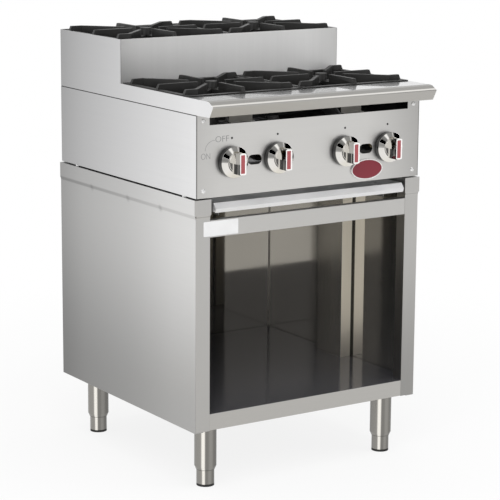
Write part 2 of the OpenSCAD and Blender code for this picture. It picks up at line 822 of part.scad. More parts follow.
// A bowl at the grate's middle, with a mixing tube that comes from the valve at knob_x
module burner(side, knob_x, grate_y, z) {
    r = cap_dia / 2;
    mr = mixer_dia / 2;
    zb = bowl_z(z);
    mid_y = (mixer_y0 + grate_y) / 2;
    on_side(side) difference() {
        union() {
            translate([pair_x, grate_y, zb]) rotate_extrude() polygon([
                [0, 0], [r - 12, 0], [r - 2, bowl_h / 2], [r + 2, bowl_h], [0, bowl_h]
            ]);
            bar_path([
                [knob_x, mixer_y0, z_knob], [knob_x, mid_y, z_knob], [pair_x, grate_y - mr, zb + mr / 2]
            ], mr);
            rod_y(knob_x, mixer_y0, mixer_y0 + 14, z_knob, mr + 3);
        }
        rod_y(knob_x, mixer_y0 - 1, mid_y - mr, z_knob, mr - 4);
    }
}

module front_left_burner() color(iron) placed() burner(-1, pair_x + knob_spread, front_grate_y, z_deck);
module front_right_burner() color(iron) placed() burner(1, pair_x + knob_spread, front_grate_y, z_deck);
module rear_left_burner() color(iron) placed() burner(-1, pair_x - knob_spread, rear_grate_y, z_rear);
module rear_right_burner() color(iron) placed() burner(1, pair_x - knob_spread, rear_grate_y, z_rear);

module burner_cap() {
    r = cap_dia / 2;
    port_z = cap_h * 0.45;
    difference() {
        rotate_extrude() polygon([
            [0, 0], [r, 0], [r, port_z + 2], [r - 8, cap_h - 2], [r - 20, cap_h], [0, cap_h - 3]
        ]);
        for (i = [0 : port_count - 1]) rotate(i * 360 / port_count) {
            translate([r - 6, -1, port_z - 3]) cube([8, 2, 3]);
        }
    }
}

module burner_caps() color(iron) placed() {
    for (sx = [-1, 1]) {
        translate([sx * pair_x, front_grate_y, cap_z(z_deck) - cap_h]) burner_cap();
        translate([sx * pair_x, rear_grate_y, cap_z(z_rear) - cap_h]) burner_cap();
    }
}

// Grates

// A finger's side view, from the hub's middle out to its slanted tip, with its height 0 at the deck
module finger_profile(start, end, open_at) {
    polygon([
        [0, -finger_deep], [open_at - finger_ramp, -finger_deep], [open_at - frame_lap, -frame_deep],
        [open_at - frame_lap, frame_h / 2], [end, frame_h / 2], [end, frame_h],
        [end - finger_slant, finger_top], [start, finger_top], [start, -low_rib], [0, -low_rib]
    ]);
}

module finger(end, open_at) {
    rotate([90, 0, 0]) translate([0, 0, -finger_t / 2]) linear_extrude(finger_t) {
        finger_profile(finger_start, end, open_at);
    }
}

// A corner finger: seen from above it runs out on a slant, bends, and goes on to the frame's side
module corner_finger() {
    bend = [grate_w / 2 - bend_x, grate_d / 2 - bend_y];
    tip = grate_w / 2 - finger_inset;
    intersection() {
        translate([0, bend[1] + finger_t, 0]) rotate([90, 0, 0]) linear_extrude(bend[1] + 2 * finger_t) {
            finger_profile(corner_start, tip, opening_w / 2);
        }
        translate([0, 0, -finger_deep]) linear_extrude(finger_deep + finger_top) {
            strip([bend / norm(bend) * hub_r / 2, bend, [tip, bend[1]]], finger_t);
        }
    }
}

// The frame's flange rests on the deck, and its inner rib stands inside the opening
module grate_frame() {
    inner = [grate_w - 2 * frame_w, grate_d - 2 * frame_w];
    rib = [opening_w - 2 * rib_gap, opening_d - 2 * rib_gap];
    difference() {
        union() {
            translate([0, 0, frame_h / 2]) cube([grate_w, grate_d, frame_h], center = true);
            translate([0, 0, frame_h / 4 - frame_deep / 2]) {
                cube([rib[0], rib[1], frame_deep + frame_h / 2], center = true);
            }
        }
        cube([inner[0], inner[1], 4 * frame_deep], center = true);
    }
}

module grate(sx, grate_y, z) {
    color(iron) placed() translate([sx * pair_x, grate_y, z + slide_gap]) {
        grate_frame();
        translate([0, 0, -finger_deep]) cylinder(h = finger_deep + finger_top - hub_drop, r = hub_r);
        for (a = [0, 180]) {
            rotate(a) finger(grate_w / 2 - finger_inset, opening_w / 2);
            rotate(a + 90) finger(grate_d / 2 - finger_inset, opening_d / 2);
        }
        for (mx = [0, 1], my = [0, 1]) mirror([mx, 0, 0]) mirror([0, my, 0]) corner_finger();
    }
}

module front_left_grate() grate(-1, front_grate_y, z_deck);
module front_right_grate() grate(1, front_grate_y, z_deck);
module rear_left_grate() grate(-1, rear_grate_y, z_rear);
module rear_right_grate() grate(1, rear_grate_y, z_rear);

// Knobs, drawn with Z out of the panel and turned to face the front

module knob(x) {
    r = knob_dia / 2;
    face_r = knob_face_dia / 2;
    z_rim = knob_gap + knob_skirt;
    z_face = z_rim + knob_bevel;
    root_w = grip_w + grip_flare;
    bore = stem_dia / 2 + turn_gap;
    color(chrome) placed() translate([x, 0, z_knob]) rotate([90, 0, 0]) difference() {
        union() {
            rotate_extrude() polygon([
                [0, knob_gap], [r - 0.8, knob_gap], [r, z_rim], [face_r, z_face],
                [face_r - 3, z_face + 1], [0, z_face + 1]
            ]);
            intersection() {
                cylinder(h = knob_out, d = grip_l);
                rotate([90, 0, 0]) translate([0, 0, -grip_l / 2]) linear_extrude(grip_l) polygon([
                    [-root_w / 2, z_face - 1], [root_w / 2, z_face - 1],
                    [grip_w / 2, knob_out], [-grip_w / 2, knob_out]
                ]);
            }
        }
        difference() {
            cylinder(h = z_rim - 2, r = r - 4);
            cylinder(h = z_rim, r = stem_dia);
        }
        cylinder(h = knob_out - 10, r = bore);
    }
}

module insert(x) {
    color(red) placed() translate([x, -knob_out, z_knob]) {
        block([-insert_w / 2, insert_w / 2], [-insert_t, 0], [-insert_l / 2, insert_l / 2]);
    }
}

module stem(x) {
    color(brass) placed() rod_y(x, -knob_out + 11, valve_y0 + 13, z_knob, stem_dia / 2);
}

module left_outer_knob() knob(-pair_x - knob_spread);
module left_inner_knob() knob(-pair_x + knob_spread);
module right_inner_knob() knob(pair_x - knob_spread);
module right_outer_knob() knob(pair_x + knob_spread);
module left_outer_insert() insert(-pair_x - knob_spread);
module left_inner_insert() insert(-pair_x + knob_spread);
module right_inner_insert() insert(pair_x - knob_spread);
module right_outer_insert() insert(pair_x + knob_spread);
module left_outer_stem() stem(-pair_x - knob_spread);
module left_inner_stem() stem(-pair_x + knob_spread);
module right_inner_stem() stem(pair_x - knob_spread);
module right_outer_stem() stem(pair_x + knob_spread);

left_side_panel();
right_side_panel();
cabinet_back();
cabinet_shelf();
left_front_post();
right_front_post();
middle_posts();
front_rail();
legs();
front_left_foot();
front_right_foot();
rear_left_foot();
rear_right_foot();
front_left_pad();
front_right_pad();
rear_left_pad();
rear_right_pad();
body_spacers();
left_body_side();
right_body_side();
body_back();
control_panel();
panel_screws();
badge_plate();
front_deck();
deck_nose();
riser_front();
riser_top();
left_skirt();
right_skirt();
left_tray_runner();
right_tray_runner();
crumb_tray();
manifold_pipe();
supply_pipe();
gas_valves();
pilot_valves();
pilot_tubes();
burner_supports();
burner_caps();
front_left_burner();
front_right_burner();
rear_left_burner();
rear_right_burner();
front_left_grate();
front_right_grate();
rear_left_grate();
rear_right_grate();
left_outer_knob();
left_inner_knob();
right_inner_knob();
right_outer_knob();
left_outer_insert();
left_inner_insert();
right_inner_insert();
right_outer_insert();
left_outer_stem();
left_inner_stem();
right_inner_stem();
right_outer_stem();
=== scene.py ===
import json
import math

import bpy
from mathutils import Matrix, Vector


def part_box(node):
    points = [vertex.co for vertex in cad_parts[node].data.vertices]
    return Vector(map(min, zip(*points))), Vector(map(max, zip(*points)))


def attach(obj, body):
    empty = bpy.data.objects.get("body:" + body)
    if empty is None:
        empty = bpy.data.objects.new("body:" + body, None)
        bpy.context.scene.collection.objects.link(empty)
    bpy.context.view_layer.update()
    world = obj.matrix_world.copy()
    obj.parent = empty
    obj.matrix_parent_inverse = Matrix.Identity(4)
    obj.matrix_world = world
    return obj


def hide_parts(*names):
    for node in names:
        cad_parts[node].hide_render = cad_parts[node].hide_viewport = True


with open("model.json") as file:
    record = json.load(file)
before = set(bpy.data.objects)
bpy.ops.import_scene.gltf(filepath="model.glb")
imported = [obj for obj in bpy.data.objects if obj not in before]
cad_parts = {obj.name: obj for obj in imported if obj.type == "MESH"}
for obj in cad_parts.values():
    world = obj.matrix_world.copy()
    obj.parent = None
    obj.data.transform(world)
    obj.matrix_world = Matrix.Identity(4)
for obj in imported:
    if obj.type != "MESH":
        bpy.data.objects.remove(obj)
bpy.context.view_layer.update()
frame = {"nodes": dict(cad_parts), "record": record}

nodes = frame["nodes"]
record = frame["record"]
bodyOf = {node: body for body, names in record["behaviour"]["bodies"].items() for node in names}
mm = 0.001
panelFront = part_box("control_panel")[0].y
print("frame loaded")


def at(x, y, z):
    # millimetres from the panel's front face to metres in the row's frame
    return Vector((x * mm, panelFront + y * mm, z * mm))


# Camera

view = {
    "azimuth": -33.44, "elevation": 11.71, "roll": 0.40,     # degrees
    "distance": 4595.02, "aside": -137.01, "up": 515.96,     # millimetres
    "focalPixels": 1971.95, "framePixels": 500, "sensor": 36.0, "farClip": 60,
}


def addCamera(v):
    azimuth, elevation, roll = (math.radians(v[k]) for k in ("azimuth", "elevation", "roll"))
    level = math.cos(elevation)
    back = Vector((math.sin(azimuth) * level, -math.cos(azimuth) * level, math.sin(elevation)))
    right = Vector((0, 0, 1)).cross(back).normalized()
    up = back.cross(right)
    place = back * v["distance"] + right * v["aside"] + up * v["up"]
    rolledRight = right * math.cos(roll) + up * math.sin(roll)
    rolledUp = up * math.cos(roll) - right * math.sin(roll)
    data = bpy.data.cameras.new("camera")
    data.sensor_fit = "HORIZONTAL"
    data.sensor_width = v["sensor"]
    data.lens = v["focalPixels"] / v["framePixels"] * v["sensor"]
    data.clip_end = v["farClip"]
    camera = bpy.data.objects.new("camera", data)
    bpy.context.scene.collection.objects.link(camera)
    turn = Matrix((rolledRight, rolledUp, back)).transposed().to_4x4()
    camera.matrix_world = Matrix.Translation(at(*place)) @ turn
    bpy.context.scene.camera = camera


addCamera(view)
bpy.context.scene.view_settings.view_transform = "Standard"
print("camera placed")


# Shader building

class Wire:
    # a socket that takes Python's operators
    def __init__(self, maker, socket):
        self.maker = maker
        self.socket = socket

    def math(self, operation, *values):
        return self.maker.out("ShaderNodeMath", {"operation": operation}, dict(enumerate(values)))

    def __add__(self, other):
        return self.math("ADD", self, other)

    def __radd__(self, other):
        return self.math("ADD", other, self)

    def __sub__(self, other):
        return self.math("SUBTRACT", self, other)

    def __rsub__(self, other):
        return self.math("SUBTRACT", other, self)

    def __mul__(self, other):
        return self.math("MULTIPLY", self, other)

    def __rmul__(self, other):
        return self.math("MULTIPLY", other, self)

    def __truediv__(self, other):
        return self.math("DIVIDE", self, other)

    def __pow__(self, other):
        return self.math("POWER", self, other)

    def __abs__(self):
        return self.math("ABSOLUTE", self)

    def sign(self):
        return self.math("SIGN", self)


class NodeMaker:
    def __init__(self, tree):
        self.tree = tree
        tree.nodes.clear()

    def add(self, kind, settings, sockets):
        node = self.tree.nodes.new(kind)
        for key, value in settings.items():
            if key == "stops":
                self.setStops(node.color_ramp, value)
            else:
                setattr(node, key, value)
        for key, value in sockets.items():
            if isinstance(value, Wire):
                self.tree.links.new(value.socket, node.inputs[key])
            else:
                node.inputs[key].default_value = value
        return node

    def out(self, kind, settings, sockets, output=0):
        return Wire(self, self.add(kind, settings, sockets).outputs[output])

    def setStops(self, ramp, stops):
        while len(ramp.elements) < len(stops):
            ramp.elements.new(1.0)
        for element, (position, level) in zip(ramp.elements, stops):
            element.position = position
            element.color = (level, level, level, 1.0)

    def span(self, value, low, high, toLow=0.0, toHigh=1.0):
        return self.out("ShaderNodeMapRange", {"interpolation_type": "SMOOTHSTEP"},
                        {0: value, 1: low, 2: high, 3: toLow, 4: toHigh})

    def mix(self, factor, first, second):
        # colour mixing; sockets 6 and 7 are the node's colour inputs, output 2 its colour
        return self.out("ShaderNodeMix", {"data_type": "RGBA"}, {0: factor, 6: first, 7: second}, 2)

    def times(self, first, second):
        return self.out("ShaderNodeMix", {"data_type": "RGBA", "blend_type": "MULTIPLY"},
                        {0: 1.0, 6: first, 7: second}, 2)

    def parts(self, vector):
        node = self.add("ShaderNodeSeparateXYZ", {}, {0: vector})
        return [Wire(self, socket) for socket in node.outputs]


def grey(value, warm=0.0):
    # a positive warm leans to straw, a negative one to blue
    blue = 1 - warm * (2 if warm > 0 else 1)
    return (value * (1 + max(warm, 0.0)), value, value * blue, 1.0)


class Finish(NodeMaker):
    def __init__(self, name, constants):
        self.material = bpy.data.materials.new(name)
        self.material.use_nodes = True
        super().__init__(self.material.node_tree)
        self.shader = self.add("ShaderNodeBsdfPrincipled", {}, constants)
        self.add("ShaderNodeOutputMaterial", {}, {"Surface": Wire(self, self.shader.outputs[0])})
        self.place = self.out("ShaderNodeTexCoord", {}, {}, "Object")
        self.x, self.y, self.z = self.parts(self.place)

    def drive(self, name, wire):
        self.tree.links.new(wire.socket, self.shader.inputs[name])

    def scaled(self, x, y, z):
        return self.out("ShaderNodeMapping", {}, {"Vector": self.place, "Scale": (x, y, z)})

    def noise(self, vector, scale, detail=2.0, roughness=0.5):
        return self.out("ShaderNodeTexNoise", {},
                        {"Vector": vector, "Scale": scale, "Detail": detail, "Roughness": roughness})

    def bump(self, height, strength, depth):
        self.drive("Normal", self.out("ShaderNodeBump", {},
                                      {"Height": height, "Strength": strength, "Distance": depth * mm}))

    def ramp(self, value, stops):
        return self.out("ShaderNodeValToRGB", {"stops": stops}, {0: value})

    def step(self, axis, pair, before=0.0, beyond=1.0):
        # a soft step between two places on an axis, in millimetres; aside is the distance from x = 0
        value = abs(self.x) if axis == "aside" else getattr(self, axis)
        start = panelFront if axis == "y" else 0.0
        return self.span(value, start + pair[0] * mm, start + pair[1] * mm, before, beyond)

    def between(self, axis, rise, fall):
        return self.step(axis, rise) * self.step(axis, fall, 1.0, 0.0)

    def toned(self, mask, tone):
        # white, or the grey tone where the mask is 1
        return self.mix(mask, grey(1.0), grey(tone))

    def varied(self, mask, shade, warm, contrast):
        return self.mix(mask, grey(shade * (1 - contrast), warm), grey(shade * (1 + contrast), warm))

    def rough(self, mask, roughness, spread):
        # spread is where the mask starts and ends, and the shares of the roughness there
        maskLow, maskHigh, smoother, rougher = spread
        return self.span(mask, maskLow, maskHigh, roughness * smoother, roughness * rougher)


# Painted light and shade on the sheets, fitted to how the light falls off over them, with places in
# millimetres

sideTone = {
    "depth": 620, "bottomZ": (150, 620), "bottomShade": 0.57,
    # painted light falloff along each side, from front to back
    "bodyY": [(0.0, 1.0), (0.156, 0.915), (0.267, 0.87), (0.6, 0.705), (0.822, 0.585), (1.0, 0.455)],
    "cabinetY": [(0.0, 1.0), (0.156, 0.937), (0.378, 0.79), (0.489, 0.727), (0.711, 0.636),
                 (0.822, 0.589), (1.0, 0.45)],
    # painted shade on the fold below the band, deeper to the back
    "foldLowZ": (626.5, 630.5), "foldHighZ": (634, 638.5), "foldShade": 0.80, "foldRearShade": 0.60,
    # painted shadow on the ledge's top faces, in the gap under the body
    "ledgeX": (305.3, 305.5), "ledgeZ": (670.0, 670.2), "ledgeShadow": 0.10,
    # painted shade in the seam's groove
    "seamX": (304.55, 304.75), "seamShade": 0.03,
    # painted shadow lines along the front sheets' edges
    "shutX": (302.8, 303.4), "shutY": (0.8, 1.6), "shutShadow": 0.35,
    # painted shade of the spot-weld dimples
    "weldY": (148, 294, 465), "weldZ": 631, "weldRadius": 12, "weldShade": 0.74,
}


def sideShading(finish, stops):
    # painted light falloff: darker to the back and to the bottom
    t = sideTone
    along = finish.ramp((finish.y - panelFront) / (t["depth"] * mm), stops)
    return finish.times(along, finish.step("z", t["bottomZ"], t["bottomShade"], 1.0))


# the skirts take the sides' painted light falloff
def skirtShading(finish):
    return sideShading(finish, sideTone["bodyY"])


def seamShading(finish):
    # painted shade in the groove where the sheet turns in behind its own face, and a painted shadow
    # line along its front edge
    t = sideTone
    inSeam = finish.toned(finish.step("aside", t["seamX"], 1.0, 0.0), t["seamShade"])
    shut = finish.toned(finish.step("y", t["shutY"], 1.0, 0.0), t["shutShadow"])
    return finish.times(sideShading(finish, t["bodyY"]), finish.times(inSeam, shut))


def cabinetSideShading(finish):
    # the cabinet's side: the painted light falloff, painted shade at its spot welds and on the fold
    # below its band, and a painted shadow on the ledge above
    t = sideTone
    # painted shade at each spot weld
    welds = 0.0
    for weldY in t["weldY"]:
        dy = finish.y - at(0, weldY, 0).y
        dz = finish.z - t["weldZ"] * mm
        welds = welds + finish.span((dy * dy + dz * dz) ** 0.5, 0.0, t["weldRadius"] * mm, 1.0, 0.0)
    rear = finish.step("y", (0, t["depth"]))
    # painted shade on the fold, deeper to the back
    foldShade = rear * t["foldRearShade"] + (1 - rear) * t["foldShade"]
    fold = 1 - finish.between("z", t["foldLowZ"], t["foldHighZ"]) * (1 - foldShade)
    # painted shadow on the ledge in the gap under the body
    ledge = finish.step("z", t["ledgeZ"]) * finish.step("aside", t["ledgeX"], 1.0, 0.0)
    plain = finish.times(sideShading(finish, t["cabinetY"]), fold * (1 - ledge * (1 - t["ledgeShadow"])))
    return finish.times(plain, finish.toned(welds, t["weldShade"]))


postTone = {
    # painted shade, low on the posts and along the crease
    "middleX": (-10, 10), "lowZ": (150, 580), "leftLowShade": 0.90, "rightLowShade": 0.64,
    "lineZ": 632, "lineReach": (0.4, 1.2), "creaseShade": 0.72,
}


def postShading(finish):
    # painted shade: the right post is darker at the bottom, and a painted shaded line runs along the
    # crease at the band's lower edge
    t = postTone
    right = finish.step("x", t["middleX"])
    low = right * t["rightLowShade"] + (1 - right) * t["leftLowShade"]
    near, far = (reach * mm for reach in t["lineReach"])
    line = finish.span(abs(finish.z - t["lineZ"] * mm), near, far, t["creaseShade"], 1.0)
    high = finish.step("z", t["lowZ"])
    return (high + (1 - high) * low) * line


frontTone = {
    "width": 610,
    # painted shade across the panel, darker towards the ends
    "panelX": [(0.0, 0.86), (0.10, 0.97), (0.25, 1.0), (0.75, 1.0), (0.845, 0.90), (0.955, 0.76),
               (1.0, 0.70)],
    # painted shade across the riser, and low down towards its left end
    "riserX": [(0.0, 0.66), (0.09, 0.84), (0.22, 0.93), (0.5, 1.0), (0.85, 0.96), (1.0, 0.74)],
    "riserLowX": [(0.0, 0.72), (0.12, 0.84), (0.5, 0.94), (0.8, 1.0), (1.0, 1.0)],
    "riserLowZ": (900, 985),
    # painted shade on the nose's slope and a painted highlight on its crease
    "slopeZ": (885.0, 885.4), "slopeShade": 0.74, "creaseZ": (882.5, 882.9), "creaseHighlight": 1.7,
}


def edgeShading(finish):
    # a painted shadow line at the shut line where a front sheet stops inside the side's fold
    return finish.toned(finish.step("aside", sideTone["shutX"]), sideTone["shutShadow"])


def panelShading(finish):
    # painted shade: darker towards the ends
    across = finish.x / (frontTone["width"] * mm) + 0.5
    return finish.times(edgeShading(finish), finish.ramp(across, frontTone["panelX"]))


def riserShading(finish):
    # painted shade: darker towards the ends, and low down towards the left end
    t = frontTone
    across = finish.x / (t["width"] * mm) + 0.5
    low = finish.mix(finish.step("z", t["riserLowZ"]), finish.ramp(across, t["riserLowX"]), grey(1.0))
    return finish.times(finish.times(edgeShading(finish), finish.ramp(across, t["riserX"])), low)


def noseShading(finish):
    # painted shade on the sloped fold, darker than the face, and a painted highlight along the crease
    # between them
    t = frontTone
    face = finish.toned(finish.step("z", t["creaseZ"]), t["creaseHighlight"])
    return finish.mix(finish.step("z", t["slopeZ"]), face, grey(t["slopeShade"]))


insideTone = {
    "cornerX": (302.2, 302.8), "cornerY": (619.2, 619.8), "cornerRoughness": 0.4,
    "shelfX": (301.3, 301.9), "shelfSideTone": 0.45, "shelfY": (616.9, 617.7), "shelfBackTone": 0.05,
    # painted shadow in the gap between the flanges and the walls
    "flangeX": (300.6, 301.2), "flangeShadow": 0.07,
}


def shelfShading(finish):
    # dark joints where the shelf meets the walls
    t = insideTone
    side = finish.toned(finish.step("aside", t["shelfX"]), t["shelfSideTone"])
    return finish.times(side, finish.toned(finish.step("y", t["shelfY"]), t["shelfBackTone"]))


def flangeShading(finish):
    # painted shadow on the inner posts' flanges, in the gap against the walls
    return finish.toned(finish.step("aside", insideTone["flangeX"]), insideTone["flangeShadow"])


legTone = {
    "axisX": 249, "frontY": 50, "rearY": 550,
    "start": 146.6, "extraHalfTurns": 4.0,     # degrees, and half turns that keep the sum above 0
    # painted reflection streaks, by share of a half turn round the leg
    "stops": [(0.0, 0.12), (0.10, 0.17), (0.16, 0.29), (0.37, 0.32), (0.41, 1.0), (0.475, 1.0),
              (0.51, 0.23), (0.58, 0.22), (0.64, 0.30), (0.71, 0.29), (0.78, 0.19), (0.85, 0.17),
              (0.89, 0.12), (1.0, 0.12)],
    "endReach": (0.8, 1.6), "endShade": 0.30, "soleZ": (4.8, 6.2), "soleTone": 0.05,
}


def footShading(finish):
    # painted reflections of the turned tube's polish, in streaks round each leg's own axis, the same on
    # each half turn
    t = legTone
    deep = finish.y - at(0, (t["frontY"] + t["rearY"]) / 2, 0).y
    across = finish.x - finish.x.sign() * (t["axisX"] * mm)
    along = deep - deep.sign() * ((t["rearY"] - t["frontY"]) / 2 * mm)
    halfTurns = along.math("ARCTAN2", along, across) / math.pi - t["start"] / 180 + t["extraHalfTurns"]
    reflectionStreaks = finish.ramp(halfTurns.math("FRACT", halfTurns), t["stops"])
    return finish.times(reflectionStreaks, finish.toned(finish.step("z", t["soleZ"], 1.0, 0.0), t["soleTone"]))


def tubeShading(finish):
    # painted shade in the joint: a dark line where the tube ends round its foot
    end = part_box("legs")[0].z
    near, far = (end + reach * mm for reach in legTone["endReach"])
    return finish.times(footShading(finish), finish.span(finish.z, near, far, legTone["endShade"], 1.0))


# Finishes

satin = {
    "fine": {"x": (3, 420, 420), "y": (420, 3, 420), "z": (420, 420, 3)},
    "broad": {"x": (1, 60, 60), "y": (60, 1, 60), "z": (60, 60, 1)},
    "fineShare": 0.3, "broadShare": 0.35, "cloudShare": 0.35, "cloudScale": 3.2, "fineDetail": 3.0,
    "contrast": 0.08, "spread": (0.25, 0.75, 0.88, 1.12), "relief": 0.10, "depth": 0.4,
}


def satinSteel(name, grain, shade, roughness, warm, shading=None, constants=None):
    # grain is the axis that the brushing runs along
    s = satin
    finish = Finish(name, {"Metallic": 1.0, **(constants or {})})
    fine = finish.noise(finish.scaled(*s["fine"][grain]), 1.0, s["fineDetail"])
    broad = finish.noise(finish.scaled(*s["broad"][grain]), 1.0)
    cloud = finish.noise(finish.place, s["cloudScale"])
    tone = fine * s["fineShare"] + broad * s["broadShare"] + cloud * s["cloudShare"]
    colour = finish.varied(tone, shade, warm, s["contrast"])
    finish.drive("Base Color", finish.times(colour, shading(finish)) if shading else colour)
    finish.drive("Roughness", finish.rough(tone, roughness, s["spread"]))
    finish.bump(fine, s["relief"], s["depth"])
    return finish.material


polish = {
    "fine": (700, 700, 40), "smear": (30, 30, 4), "contrast": 0.04, "spread": (0.2, 0.8, 0.8, 1.25),
    "relief": 0.02, "depth": 0.1,
}


def polishedSteel(name, shade, roughness, warm, constants, shading=None):
    # the cabinet's inside, with a rough line down its welded corners
    s = polish
    finish = Finish(name, constants)
    fine = finish.noise(finish.scaled(*s["fine"]), 1.0)
    smear = finish.noise(finish.scaled(*s["smear"]), 1.0)
    colour = finish.varied(smear, shade, warm, s["contrast"])
    finish.drive("Base Color", finish.times(colour, shading(finish)) if shading else colour)
    corner = finish.step("aside", insideTone["cornerX"]) * finish.step("y", insideTone["cornerY"])
    plain = finish.rough(smear, roughness, s["spread"])
    finish.drive("Roughness", plain + corner * insideTone["cornerRoughness"])
    finish.bump(fine, s["relief"], s["depth"])
    return finish.material


casting = {
    "grain": 900, "grainDetail": 3.0, "grainRoughness": 0.6, "patch": 40, "dark": 0.75, "light": 1.3,
    "lightWarm": 0.03, "spread": (0.3, 0.7, 0.85, 1.2), "relief": 0.3, "depth": 0.5,
}


def castIron(name, shade, roughness, gloss):
    s = casting
    finish = Finish(name, {"Metallic": 0.0, "Specular IOR Level": gloss})
    grain = finish.noise(finish.place, s["grain"], s["grainDetail"], s["grainRoughness"])
    patch = finish.noise(finish.place, s["patch"])
    colour = finish.mix(patch, grey(shade * s["dark"]), grey(shade * s["light"], s["lightWarm"]))
    finish.drive("Base Color", colour)
    finish.drive("Roughness", finish.rough(patch, roughness, s["spread"]))
    finish.bump(grain, s["relief"], s["depth"])
    return finish.material


coating = {"patch": 25, "dark": 0.92, "light": 1.06, "spread": (0.3, 0.7, 0.85, 1.15), "depth": 0.4}


def coated(name, colour, metallic, roughness, grainScale=500, relief=0.08):
    # plating, paint, print and rubber
    s = coating
    finish = Finish(name, {"Metallic": metallic})
    grain = finish.noise(finish.place, grainScale)
    patch = finish.noise(finish.place, s["patch"])
    dark, light = ([min(1.0, c * share) for c in colour] + [1.0] for share in (s["dark"], s["light"]))
    finish.drive("Base Color", finish.mix(patch, dark, light))
    finish.drive("Roughness", finish.rough(patch, roughness, s["spread"]))
    finish.bump(grain, relief, s["depth"])
    return finish.material


knobTone = {
    "bright": 0.76, "warm": 0.022, "patch": 60, "contrast": 0.05, "roughness": 0.07,
    "spread": (0.3, 0.7, 0.85, 1.15), "relief": 0.03, "depth": 0.4,
    # painted dark reflections on the skirt's side wall and the grip's lower sides
    "rimY": (-13.4, -12.6), "rimReflectionTone": 0.10, "gripReflectionZ": (747, 749), "gripReflectionTone": 0.10,
    "gripReflectionFrontY": (-43.5, -42.5), "gripReflectionBackY": (-24, -23),
    "lineFrontY": (-37.2, -36.9), "lineBackY": (-35.9, -35.6),
}


def knobChrome(name, t):
    # bright plating, with painted dark reflections on the rim and, but for one line, in the lower half
    # of the grip's sides
    finish = Finish(name, {"Metallic": 1.0})
    patch = finish.noise(finish.place, t["patch"])
    bright = finish.varied(patch, t["bright"], t["warm"], t["contrast"])
    below = finish.step("z", t["gripReflectionZ"], 1.0, 0.0)
    inGrip = finish.between("y", t["gripReflectionFrontY"], t["gripReflectionBackY"])
    line = finish.between("y", t["lineFrontY"], t["lineBackY"])
    colour = finish.mix(finish.step("y", t["rimY"]), bright, grey(t["rimReflectionTone"]))
    finish.drive("Base Color", finish.mix(below * inGrip * (1 - line), colour, grey(t["gripReflectionTone"])))
    finish.drive("Roughness", finish.rough(patch, t["roughness"], t["spread"]))
    finish.bump(patch, t["relief"], t["depth"])
    return finish.material


# steels by grain, shade, roughness and warmth
bodySideSteel = satinSteel("bodySideSteel", "y", 0.87, 0.36, -0.008, seamShading)
cabinetSideSteel = satinSteel("cabinetSideSteel", "y", 0.775, 0.36, 0.004, cabinetSideShading)
panelSteel = satinSteel("satinSteelAcross", "x", 0.66, 0.33, 0.012, panelShading)
noseSteel = satinSteel("noseSteel", "x", 0.43, 0.30, 0.024, noseShading)
riserSteel = satinSteel("riserSteel", "z", 0.67, 0.42, 0.004, riserShading, {"Metallic": 0.36})
traySteel = satinSteel("traySteel", "x", 0.74, 0.42, -0.006, None, {"Metallic": 0.65})
shelfEdgeSteel = satinSteel("shelfEdgeSteel", "x", 0.46, 0.33, 0.02)
middleSteel = satinSteel("middlePostSteel", "z", 0.90, 0.36, 0.06, flangeShading)
postSteel = satinSteel("postSteel", "z", 0.50, 0.33, 0.014, postShading)
railSteel = satinSteel("railSteel", "x", 0.54, 0.36, 0.014, None, {"Metallic": 0.9})
skirtSteel = satinSteel("skirtSteel", "y", 0.90, 0.36, -0.008, skirtShading)
deckSteel = satinSteel("deckSteel", "x", 0.62, 0.28, 0.0, None,
                       {"Coat Weight": 1.0, "Coat Roughness": 0.03, "Coat IOR": 1.7})
legSteel = satinSteel("legSteel", "z", 0.93, 0.22, 0.03, tubeShading)
footSteel = satinSteel("footSteel", "z", 0.93, 0.22, 0.03, footShading)
mirrorSteel = polishedSteel("polishedSteel", 0.51, 0.05, 0.032, {"Metallic": 0.94})
# a darker, polished copy of the posts' steel for their inner sides: painted shade
middleSideShadeSteel = polishedSteel("middlePostSideSteel", 0.50, 0.14, 0.03, {"Metallic": 0.94})
# the shelf's polished top, darkened in base colour and specular tint as painted shade of the dim inside
shelfSteel = polishedSteel("shelfSteel", 0.27, 0.12, -0.09,
                           {"Specular Tint": (0.6, 0.6, 0.6, 1.0), "Metallic": 0.80}, shelfShading)

# irons by shade, roughness and gloss
grateIron = castIron("grateIron", 0.014, 0.46, 0.36)
burnerIron = castIron("burnerIron", 0.017, 0.65, 0.25)

# the rest by colour, metallic, roughness, and the scale and relief of the grain
chrome = knobChrome("knobChrome", knobTone)
zincSteel = coated("zincSteel", (0.42, 0.42, 0.41), 1.0, 0.45)
supportZinc = coated("supportZinc", (0.05, 0.05, 0.05), 1.0, 0.5)
# a bright copy of the bracket's zinc for the lip's top: painted highlight
bracketLip = coated("bracketLip", (0.92, 0.91, 0.88), 0.2, 0.3)
bracketZinc = coated("bracketZinc", (0.52, 0.50, 0.46), 0.35, 0.45)
screwSteel = coated("screwSteel", (0.86, 0.86, 0.86), 0.6, 0.25)
pipeBlack = coated("pipeBlack", (0.02, 0.02, 0.02), 0.0, 0.4)
valveBrass = coated("valveBrass", (0.24, 0.18, 0.09), 1.0, 0.4)
tubeGrey = coated("tubeGrey", (0.02, 0.02, 0.02), 0.4, 0.5)
rubber = coated("padRubber", (0.02, 0.02, 0.02), 0.0, 0.75, 700, 0.3)
insertRed = coated("insertRed", (0.34, 0.07, 0.078), 0.0, 0.45, 300, 0.03)
insertWhite = coated("insertWhite", (0.86, 0.85, 0.84), 0.0, 0.4, 300, 0.03)
badgeRed = coated("badgeRed", (0.20, 0.012, 0.025), 0.0, 0.4, 300, 0.03)
badgeRim = coated("badgeRim", (0.80, 0.78, 0.77), 0.3, 0.3, 300, 0.03)
printGrey = coated("printGrey", (0.30, 0.30, 0.30), 0.0, 0.6, 300, 0.03)
printBlack = coated("printBlack", (0.008, 0.008, 0.008), 0.0, 0.6, 300, 0.03)
